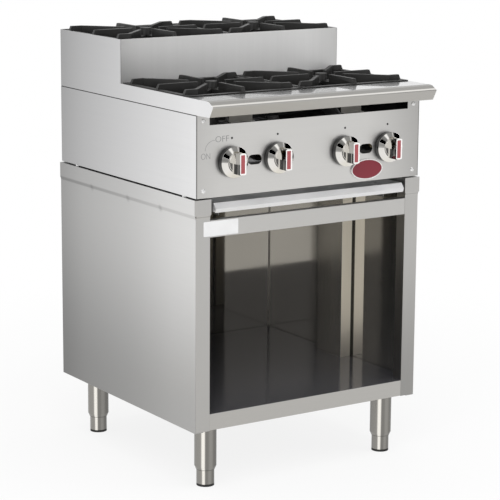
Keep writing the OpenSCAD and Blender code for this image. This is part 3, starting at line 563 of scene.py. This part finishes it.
stickerWhite = coated("stickerWhite", (0.76, 0.76, 0.76), 0.0, 0.5, 300, 0.02)
print("finishes made")

nodeFinish = {
    "left_side_panel": cabinetSideSteel, "right_side_panel": cabinetSideSteel,
    "left_body_side": bodySideSteel, "right_body_side": bodySideSteel,
    "left_skirt": skirtSteel, "right_skirt": skirtSteel, "body_back": panelSteel,
    "cabinet_back": mirrorSteel, "cabinet_shelf": shelfEdgeSteel, "middle_posts": middleSteel,
    "left_front_post": postSteel, "right_front_post": postSteel, "front_rail": railSteel,
    "legs": legSteel, "body_spacers": screwSteel,
    "control_panel": panelSteel, "panel_screws": screwSteel, "badge_plate": badgeRed,
    "front_deck": deckSteel, "deck_nose": noseSteel,
    "riser_front": riserSteel, "riser_top": deckSteel, "crumb_tray": traySteel,
    "left_tray_runner": zincSteel, "right_tray_runner": zincSteel,
    "manifold_pipe": pipeBlack, "supply_pipe": pipeBlack, "gas_valves": valveBrass,
    "pilot_valves": valveBrass, "pilot_tubes": tubeGrey,
    "burner_supports": supportZinc, "burner_caps": burnerIron,
}
# nodes that come in numbers, by how their names end
endings = {"_foot": footSteel, "_pad": rubber, "_burner": burnerIron, "_grate": grateIron,
           "_knob": chrome, "_insert": insertRed, "_stem": valveBrass}
for name in nodes:
    for ending, choice in endings.items():
        if name.endswith(ending):
            nodeFinish[name] = choice
for name, cadObject in nodes.items():
    for slot in cadObject.material_slots:
        slot.material = nodeFinish[name]
print("node finishes assigned")


# Modelling helpers

toFront = (math.radians(90), 0, 0)     # turns a primitive's top to the front
closeBy = 0.1     # millimetres within which two places are the same


def only(piece):
    bpy.ops.object.select_all(action="DESELECT")
    piece.select_set(True)
    bpy.context.view_layer.objects.active = piece


def enterEdit(piece):
    only(piece)
    bpy.ops.object.mode_set(mode="EDIT")


def leaveEdit():
    bpy.ops.object.mode_set(mode="OBJECT")


def editFaces(piece, chosen):
    # enters edit mode with the faces that chosen(centre, normal) picks
    enterEdit(piece)
    bpy.ops.mesh.select_mode(type="FACE")
    bpy.ops.mesh.select_all(action="DESELECT")
    leaveEdit()
    for face in piece.data.polygons:
        face.select = bool(chosen(face.center, face.normal))
    bpy.ops.object.mode_set(mode="EDIT")


def frontward(centre, normal):
    return normal.y < -0.9


def startPiece(adder, name, **settings):
    bpy.ops.object.select_all(action="DESELECT")
    adder(**settings)
    piece = bpy.context.object
    piece.name = name
    piece.data.name = name
    return piece


def applyPlace(piece):
    only(piece)
    bpy.ops.object.transform_apply(location=True, rotation=True, scale=True)


def addPlate(name, size, centre):
    plate = startPiece(bpy.ops.mesh.primitive_cube_add, name, size=1)
    plate.scale = [side * mm for side in size]
    plate.location = centre
    applyPlace(plate)
    return plate


def roundCorners(plate, thickness, radius):
    # rounds the four edges that run through the plate
    enterEdit(plate)
    bpy.ops.mesh.select_mode(type="EDGE")
    bpy.ops.mesh.select_all(action="DESELECT")
    leaveEdit()
    points = plate.data.vertices
    for edge in plate.data.edges:
        first, second = (points[i].co for i in edge.vertices)
        edge.select = abs(first.y - second.y) > 0.5 * thickness * mm
    bpy.ops.object.mode_set(mode="EDIT")
    bpy.ops.mesh.bevel(offset=radius * mm, segments=4, affect="EDGES")
    leaveEdit()


def roundEdges(piece, width, segments=2, angle=30, weighted=False):
    only(piece)
    bpy.ops.object.shade_smooth()
    bevel = piece.modifiers.new("roundEdges", "BEVEL")
    bevel.width = width * mm
    bevel.segments = segments
    bevel.limit_method = "WEIGHT" if weighted else "ANGLE"
    bevel.angle_limit = math.radians(angle)
    bevel.harden_normals = True
    bevel.use_clamp_overlap = True
    bpy.ops.object.modifier_apply(modifier=bevel.name)


def joinInto(piece, others):
    only(piece)
    for other in others:
        other.select_set(True)
    bpy.ops.object.join()
    return piece


def finishPiece(piece, materials, body, replaced=()):
    applyPlace(piece)
    while len(piece.data.materials) < len(materials):
        piece.data.materials.append(None)
    for index, material in enumerate(materials):
        piece.data.materials[index] = material
    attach(piece, body)
    if replaced:
        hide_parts(*replaced)


# Rounded copies of the sheet metal and the castings, by bevel width, for the light on their edges

roundedNodes = {
    "front_left_grate": 1.1, "front_right_grate": 1.1, "rear_left_grate": 1.1, "rear_right_grate": 1.1,
    "riser_top": 0.35, "riser_front": 0.45, "left_skirt": 0.5, "right_skirt": 0.5, "control_panel": 0.5,
    "left_front_post": 0.9, "right_front_post": 0.9, "front_rail": 0.9, "cabinet_shelf": 0.5,
    "crumb_tray": 0.35, "left_side_panel": 0.5, "right_side_panel": 0.5, "middle_posts": 0.6,
    "deck_nose": 1.5,
}
rounding = {"merge": 0.02, "flatAngle": 0.6, "sharpAngle": 28, "sheetSegments": 3}
seamEdge = {"y": -35.5, "reach": 0.3}     # where the nose's sheet meets the deck's sheet


def inward(face):
    return face.normal.x * face.center.x < -0.5 * abs(face.center.x)


def upward(face):
    return face.normal.z > 0.5


otherFinish = {
    "left_side_panel": (mirrorSteel, inward), "right_side_panel": (mirrorSteel, inward),
    "middle_posts": (middleSideShadeSteel, inward), "cabinet_shelf": (shelfSteel, upward),
}


def atSeam(point):
    away = point - at(0, seamEdge["y"], 0)
    return abs(away.y) < seamEdge["reach"] * mm


def bevelSheet(piece, width):
    # only the new strips are smooth, so that the sheet's faces stay true
    only(piece)
    bpy.ops.object.shade_flat()
    piece.data.materials.append(None)
    bevel = piece.modifiers.new("roundEdges", "BEVEL")
    bevel.width = width * mm
    bevel.segments = rounding["sheetSegments"]
    bevel.limit_method = "WEIGHT"
    bevel.material = 1
    bevel.use_clamp_overlap = True
    bpy.ops.object.modifier_apply(modifier=bevel.name)
    for face in piece.data.polygons:
        face.use_smooth = face.material_index == 1
        face.material_index = 0
    piece.data.materials.pop()


def addRounded(name, width):
    piece = bpy.data.objects.new("rounded_" + name, nodes[name].data.copy())
    bpy.context.scene.collection.objects.link(piece)
    enterEdit(piece)
    bpy.ops.mesh.select_mode(type="EDGE")
    bpy.ops.mesh.select_all(action="SELECT")
    bpy.ops.mesh.remove_doubles(threshold=rounding["merge"] * mm)
    bpy.ops.mesh.dissolve_limited(angle_limit=math.radians(rounding["flatAngle"]))
    bpy.ops.mesh.select_all(action="DESELECT")
    bpy.ops.mesh.edges_select_sharp(sharpness=math.radians(rounding["sharpAngle"]))
    leaveEdit()
    points = piece.data.vertices
    for edge in piece.data.edges:
        if edge.select and all(atSeam(points[i].co) for i in edge.vertices):
            edge.select = False
    bpy.ops.object.mode_set(mode="EDIT")
    bpy.ops.transform.edge_bevelweight(value=1.0)
    leaveEdit()
    if name.endswith("_grate"):
        roundEdges(piece, width, weighted=True)
    else:
        bevelSheet(piece, width)
    finishes = [nodeFinish[name]]
    if name in otherFinish:
        finish, chosen = otherFinish[name]
        finishes.append(finish)
        piece.data.materials.append(None)
        for face in piece.data.polygons:
            face.material_index = int(chosen(face))
    finishPiece(piece, finishes, bodyOf[name], [name])


for name, width in roundedNodes.items():
    addRounded(name, width)
print("rounded copies made")


# Knobs, one model copied four times

knob = {
    "axes": {"left_outer": -213.5, "left_inner": -92.5, "right_inner": 92.5, "right_outer": 213.5},
    "axisZ": 749, "radius": 35, "back": -1.5, "skirtFront": -13, "faceFront": -20, "faceRadius": 22.5,
    "ringWidth": 3.0, "ringDepth": 0.8, "gripRadius": 25, "gripFront": -45, "gripHalf": 8.5,
    "ridgeHalf": 9.4, "ridgeY": -27, "rootHalf": 11.0, "overlap": 1, "sides": 96, "edge": 0.5,
}


def addKnobModel(k):
    # the skirt, with a smaller raised face inside a ring
    skirt = startPiece(bpy.ops.mesh.primitive_cylinder_add, "knobModel", vertices=k["sides"],
                       radius=k["radius"] * mm, depth=(k["back"] - k["skirtFront"]) * mm,
                       rotation=toFront, location=(0, (k["back"] + k["skirtFront"]) / 2 * mm, 0))
    applyPlace(skirt)
    editFaces(skirt, frontward)
    forward = (k["faceFront"] - k["skirtFront"]) * mm
    bpy.ops.mesh.extrude_region_move(TRANSFORM_OT_translate={"value": (0, forward, 0)})
    shrink = k["faceRadius"] / k["radius"]
    bpy.ops.transform.resize(value=(shrink, 1, shrink), center_override=(0, 0, 0))
    bpy.ops.mesh.inset(thickness=k["ringWidth"] * mm)
    bpy.ops.mesh.extrude_region_move(TRANSFORM_OT_translate={"value": (0, -k["ringDepth"] * mm, 0)})
    leaveEdit()
    roundEdges(skirt, k["edge"], segments=3, angle=20)

    # the grip, a disc cut to its sloping sides
    gripBack = k["faceFront"] + k["overlap"]
    grip = startPiece(bpy.ops.mesh.primitive_cylinder_add, "gripModel", vertices=k["sides"],
                      radius=k["gripRadius"] * mm, depth=(gripBack - k["gripFront"]) * mm,
                      rotation=toFront, location=(0, (gripBack + k["gripFront"]) / 2 * mm, 0))
    applyPlace(grip)
    enterEdit(grip)
    for side in (-1, 1):
        for half, y, nextHalf, nextY in (
                (k["gripHalf"], k["gripFront"], k["ridgeHalf"], k["ridgeY"]),
                (k["ridgeHalf"], k["ridgeY"], k["rootHalf"], k["faceFront"])):
            slope = (nextHalf - half) / (nextY - y)
            outward = Vector((side, -slope, 0)).normalized()
            bpy.ops.mesh.select_all(action="SELECT")
            bpy.ops.mesh.bisect(plane_co=(side * half * mm, y * mm, 0), plane_no=outward,
                                use_fill=True, clear_outer=True)
    leaveEdit()
    roundEdges(grip, k["edge"], segments=3, angle=12)
    return joinInto(skirt, [grip])


insert = {
    "width": 16, "height": 46, "back": -45, "thickness": 1.5, "cornerRadius": 1.6, "rim": 0.5,
    "redWidth": 10.4, "redHeight": 41.0, "redAside": -0.8, "redLip": 0.01, "recess": 0.4, "edge": 0.15,
}


def addInsertModel(s):
    plate = addPlate("insertModel", (s["width"], s["thickness"], s["height"]),
                     (0, (s["back"] - s["thickness"] / 2) * mm, 0))
    roundCorners(plate, s["thickness"], s["cornerRadius"])
    editFaces(plate, frontward)
    # the red field, sunk off centre in the white plate
    bpy.ops.mesh.inset(thickness=s["rim"] * mm)
    bpy.ops.mesh.inset(thickness=s["redLip"] * mm)
    narrow = s["redWidth"] / (s["width"] - 2 * s["rim"])
    short = s["redHeight"] / (s["height"] - 2 * s["rim"])
    bpy.ops.transform.resize(value=(narrow, 1, short), center_override=(0, 0, 0))
    bpy.ops.transform.translate(value=(s["redAside"] * mm, 0, 0))
    bpy.ops.mesh.extrude_region_move(TRANSFORM_OT_translate={"value": (0, s["recess"] * mm, 0)})
    leaveEdit()
    plate.data.materials.append(insertWhite)
    plate.data.materials.append(insertRed)
    floor = (s["back"] - s["thickness"] + s["recess"]) * mm
    for face in plate.data.polygons:
        atFloor = abs(face.center.y - floor) < closeBy * mm
        face.material_index = int(frontward(face.center, face.normal) and atFloor)
    roundEdges(plate, s["edge"], angle=40)
    return plate


def placeCopies(model, ending, materials, k):
    for side, x in k["axes"].items():
        first, second = side.split("_")
        name = first + second.title() + "Shaped" + ending.title()
        piece = bpy.data.objects.new(name, model.data.copy())
        bpy.context.scene.collection.objects.link(piece)
        piece.location = at(x, 0, k["axisZ"])
        node = "%s_%s" % (side, ending)
        finishPiece(piece, materials, bodyOf[node], [node])
    bpy.data.objects.remove(model)


placeCopies(addKnobModel(knob), "knob", [chrome], knob)
placeCopies(addInsertModel(insert), "insert", [insertWhite, insertRed], knob)
print("knobs made")


# Badge, left blank

badge = {
    "centreX": 154.5, "centreZ": 701.6, "width": 88, "height": 47, "thickness": 4, "rim": 2.2,
    "recess": 0.5, "domeRim": 6.6, "dome": 0.2, "sides": 72, "edge": 0.25,
}


def addBadge(b):
    plate = startPiece(bpy.ops.mesh.primitive_cylinder_add, "ovalBadge", vertices=b["sides"],
                       radius=0.5, depth=1, rotation=toFront)
    applyPlace(plate)
    plate.scale = (b["width"] * mm, b["thickness"] * mm, b["height"] * mm)
    plate.location = at(b["centreX"], -b["thickness"] / 2, b["centreZ"])
    applyPlace(plate)
    # a raised rim, and a low dome within it
    editFaces(plate, frontward)
    bpy.ops.mesh.inset(thickness=b["rim"] * mm)
    bpy.ops.mesh.extrude_region_move(TRANSFORM_OT_translate={"value": (0, b["recess"] * mm, 0)})
    bpy.ops.mesh.inset(thickness=b["domeRim"] * mm)
    bpy.ops.transform.translate(value=(0, -b["dome"] * mm, 0))
    leaveEdit()
    plate.data.materials.append(badgeRim)
    plate.data.materials.append(badgeRed)
    front = at(0, -b["thickness"], 0).y
    for face in plate.data.polygons:
        sunk = face.center.y > front + closeBy * mm
        face.material_index = int(frontward(face.center, face.normal) and sunk)
    roundEdges(plate, b["edge"], angle=35)
    finishPiece(plate, [badgeRim, badgeRed], "range_body", ["badge_plate"])


addBadge(badge)
print("badge made")


# Marks on the panel

marks = {
    "OFF": {"left": -256.3, "right": -221.6, "low": 795.0, "high": 808.0},
    "ON": {"left": -293.3, "right": -269.8, "low": 759.4, "high": 772.4},
    "proud": 0.25, "sunk": 0.3, "strokeOffset": -0.012,
    "arcCentre": (-258.2, 777.5), "arcWide": 24.4, "arcHigh": 22.3, "arcLine": 0.9, "arcSteps": 20,
    "arcMerge": 0.001,
    "dotZ": 801.5, "dotRadius": 2.5, "dotSides": 20, "dotRim": 0.3, "dotDome": 0.08,
}


def addWord(word, m):
    text = startPiece(bpy.ops.object.text_add, "word" + word.title(), rotation=toFront)
    text.data.body = word
    text.data.extrude = 0.5     # any depth, since the mesh is scaled to its box below
    text.data.offset = m["strokeOffset"]
    only(text)
    bpy.ops.object.convert(target="MESH")
    piece = bpy.context.object
    applyPlace(piece)
    low, high = (Vector(f(p.co[i] for p in piece.data.vertices) for i in range(3)) for f in (min, max))
    spanNow = high - low
    box = m[word]
    depth = m["proud"] + m["sunk"]
    piece.scale = ((box["right"] - box["left"]) * mm / spanNow.x, depth * mm / spanNow.y,
                   (box["high"] - box["low"]) * mm / spanNow.z)
    middle = at((box["left"] + box["right"]) / 2, (m["sunk"] - m["proud"]) / 2,
                (box["low"] + box["high"]) / 2)
    centre = (low + high) / 2
    piece.location = middle - Vector(c * s for c, s in zip(centre, piece.scale))
    finishPiece(piece, [printGrey], "range_body")


def addArc(m):
    centre = at(m["arcCentre"][0], 0, m["arcCentre"][1])
    strip = startPiece(bpy.ops.mesh.primitive_plane_add, "turnArc", size=1)
    strip.scale = (m["arcLine"] * mm, (m["proud"] + m["sunk"]) * mm, 1)
    strip.location = (centre.x - m["arcWide"] * mm, at(0, (m["sunk"] - m["proud"]) / 2, 0).y, centre.z)
    applyPlace(strip)
    enterEdit(strip)
    bpy.ops.mesh.select_all(action="SELECT")
    bpy.ops.mesh.spin(steps=m["arcSteps"], angle=math.radians(-90), center=centre, axis=(0, 1, 0))
    bpy.ops.mesh.select_all(action="SELECT")
    bpy.ops.mesh.remove_doubles(threshold=m["arcMerge"] * mm)
    bpy.ops.mesh.normals_make_consistent(inside=False)
    bpy.ops.transform.resize(value=(1, 1, m["arcHigh"] / m["arcWide"]), center_override=centre)
    leaveEdit()
    finishPiece(strip, [printGrey], "range_body")


def addDots(m, places):
    dots = []
    for x in places:
        dot = startPiece(bpy.ops.mesh.primitive_cylinder_add, "indexDots", vertices=m["dotSides"],
                         radius=m["dotRadius"] * mm, depth=(m["proud"] + m["sunk"]) * mm,
                         rotation=toFront, location=at(x, (m["sunk"] - m["proud"]) / 2, m["dotZ"]))
        applyPlace(dot)
        editFaces(dot, frontward)
        bpy.ops.mesh.inset(thickness=m["dotRim"] * mm)
        bpy.ops.transform.translate(value=(0, -m["dotDome"] * mm, 0))
        leaveEdit()
        dots.append(dot)
    finishPiece(joinInto(dots[0], dots[1:]), [printBlack], "range_body")


addWord("OFF", marks)
addWord("ON", marks)
addArc(marks)
addDots(marks, knob["axes"].values())
print("panel marks made")


# Blank label across the left post and the rail

label = {
    "left": -286.5, "right": -196.0, "low": 587.5, "high": 620.5, "thickness": 0.35, "corner": 1.5,
    "border": 0.6, "dome": 0.05,
}


def addLabel(s):
    plate = addPlate("blankLabel", (s["right"] - s["left"], s["thickness"], s["high"] - s["low"]),
                     at((s["left"] + s["right"]) / 2, -s["thickness"] / 2, (s["low"] + s["high"]) / 2))
    roundCorners(plate, s["thickness"], s["corner"])
    editFaces(plate, frontward)
    bpy.ops.mesh.inset(thickness=s["border"] * mm)
    bpy.ops.transform.translate(value=(0, -s["dome"] * mm, 0))
    leaveEdit()
    finishPiece(plate, [stickerWhite], "range_body")


addLabel(label)
print("label made")


# Folded brackets behind the air slot

bracket = {
    "places": {"leftSlotBracket": (-155, 62), "rightSlotBracket": (149, 57)},     # middle and width
    "back": 56, "sheet": 1.2, "top": 889, "low": 827, "lip": 12, "edge": 0.3,
}


def addBracket(name, x, width, b):
    plate = addPlate(name, (width, b["sheet"], b["top"] - b["low"]),
                     at(x, b["back"] - b["sheet"] / 2, (b["top"] + b["low"]) / 2))
    # the lip, folded forward at the bottom
    enterEdit(plate)
    bpy.ops.mesh.select_all(action="SELECT")
    foldZ = b["low"] + b["sheet"]
    bpy.ops.mesh.bisect(plane_co=at(0, 0, foldZ), plane_no=(0, 0, 1))
    leaveEdit()
    editFaces(plate, lambda centre, normal: frontward(centre, normal) and centre.z < foldZ * mm)
    bpy.ops.mesh.extrude_region_move(TRANSFORM_OT_translate={"value": (0, -b["lip"] * mm, 0)})
    leaveEdit()
    roundEdges(plate, b["edge"], angle=40)
    plate.data.materials.append(bracketZinc)
    plate.data.materials.append(bracketLip)
    # the lip's upward faces take the painted highlight
    for face in plate.data.polygons:
        face.material_index = int(upward(face) and face.center.z < (foldZ + 2 * b["sheet"]) * mm)
    finishPiece(plate, [bracketZinc, bracketLip], "range_body")


for name, (x, width) in bracket["places"].items():
    addBracket(name, x, width, bracket)
print("brackets made")


# Studio

studio = {
    "floorHalf": 7.0, "clearRadius": 0.7, "fadeRadius": 1.9, "shadowShare": 0.16,
    "floorTone": (0.74, 0.74, 0.74, 1.0), "gleamTone": (0.72, 0.70, 0.65, 1.0),
    "gleamNear": 0.6, "gleamFar": 1.1, "gleamShare": 0.9, "shortRay": (0.68, 0.80), "shortShare": 0.8,
}


def addStudio(s):
    # the floor is white to the camera but for the shadow, and pale in reflections further out
    floor = startPiece(bpy.ops.mesh.primitive_plane_add, "studioFloor", size=2 * s["floorHalf"])
    material = bpy.data.materials.new("studioFloor")
    material.use_nodes = True
    maker = NodeMaker(material.node_tree)
    x, y, z = maker.parts(maker.out("ShaderNodeTexCoord", {}, {}, "Object"))
    away = (x * x + y * y) ** 0.5
    seen = maker.out("ShaderNodeLightPath", {}, {}, "Is Camera Ray")
    glossy = maker.out("ShaderNodeLightPath", {}, {}, "Is Glossy Ray")
    farRay = maker.span(maker.out("ShaderNodeLightPath", {}, {}, "Ray Length"), *s["shortRay"])
    colour = maker.mix(glossy, s["floorTone"], s["gleamTone"])
    lit = maker.out("ShaderNodeBsdfDiffuse", {}, {"Color": colour})
    white = maker.out("ShaderNodeEmission", {}, {"Color": (1, 1, 1, 1), "Strength": 1.0})
    plain = maker.span(away, s["clearRadius"], s["fadeRadius"], 1 - s["shadowShare"], 1.0)
    mirrored = maker.span(away, s["gleamNear"], s["gleamFar"], 0.0, s["gleamShare"])
    mirrored = mirrored * farRay + (1 - farRay) * s["shortShare"]
    bright = seen * plain + glossy * mirrored
    surface = maker.out("ShaderNodeMixShader", {}, {0: bright, 1: lit, 2: white})
    maker.add("ShaderNodeOutputMaterial", {}, {"Surface": surface})
    floor.data.materials.append(material)


sky = {
    "level": 0.86, "rise": 0.25, "riseFrom": -0.05, "riseTo": 0.6, "plainLight": 0.78,
    "lobes": [     # a gain below 0 darkens what reflects that side
        {"toward": (-0.62, -0.40, 0.68), "low": 0.78, "high": 0.97, "gain": 0.9},
        {"toward": (0.10, 0.25, 0.96), "low": 0.70, "high": 0.98, "gain": -0.08},
        {"toward": (-1.0, -0.05, 0.05), "low": 0.74, "high": 0.98, "gain": -0.55},
        {"toward": (1.0, -0.10, 0.05), "low": 0.76, "high": 0.98, "gain": -0.55},
        {"toward": (-0.35, -0.93, 0.10), "low": 0.86, "high": 0.99, "gain": -0.35},
        {"toward": (-0.54, -0.82, 0.22), "low": 0.94, "high": 0.985, "gain": -0.26},
        {"toward": (-0.15, -0.85, 0.50), "low": 0.945, "high": 0.975, "gain": -0.85},
        {"toward": (0.48, -0.57, 0.66), "low": 0.955, "high": 0.98, "gain": -0.8},
        {"toward": (0.87, -0.34, 0.36), "low": 0.955, "high": 0.975, "gain": -0.85},
    ],
}


def addWorld(s):
    # white to the camera; bright and dark patches for reflections; even light for everything else
    world = bpy.data.worlds.new("studioWorld")
    bpy.context.scene.world = world
    world.use_nodes = True
    maker = NodeMaker(world.node_tree)
    x, y, z = maker.parts(maker.out("ShaderNodeTexCoord", {}, {}, "Generated"))
    tone = s["level"] + maker.span(z, s["riseFrom"], s["riseTo"], 0.0, s["rise"])
    for lobe in s["lobes"]:
        a, b, c = lobe["toward"]
        tone = tone + maker.span(x * a + y * b + z * c, lobe["low"], lobe["high"], 0.0, lobe["gain"])
    seen = maker.out("ShaderNodeLightPath", {}, {}, "Is Camera Ray")
    glossy = maker.out("ShaderNodeLightPath", {}, {}, "Is Glossy Ray")
    around = glossy * tone + (1 - glossy) * s["plainLight"]
    strength = seen + (1 - seen) * around
    background = maker.out("ShaderNodeBackground", {}, {"Color": (1, 1, 1, 1), "Strength": strength})
    maker.add("ShaderNodeOutputWorld", {}, {"Surface": background})


lamps = {
    "keyLamp": {"place": (-2.2, -2.4, 3.2), "target": (0, 0, 0.6), "size": 2.4, "power": 60},
    "fillLamp": {"place": (2.8, -2.6, 2.0), "target": (0, 0, 0.5), "size": 2.0, "power": 25},
    "topLamp": {"place": (0, -0.4, 3.6), "target": (0, 0, 0.5), "size": 2.5, "power": 45},
}


def addLamps(table):
    for name, lamp in table.items():
        data = bpy.data.lights.new(name, "AREA")
        data.size = lamp["size"]
        data.energy = lamp["power"]
        light = bpy.data.objects.new(name, data)
        bpy.context.scene.collection.objects.link(light)
        light.visible_glossy = False
        place = Vector(lamp["place"])
        light.location = place
        light.rotation_euler = (Vector(lamp["target"]) - place).to_track_quat("-Z", "Y").to_euler()


addStudio(studio)
addWorld(sky)
addLamps(lamps)
print("studio lit")
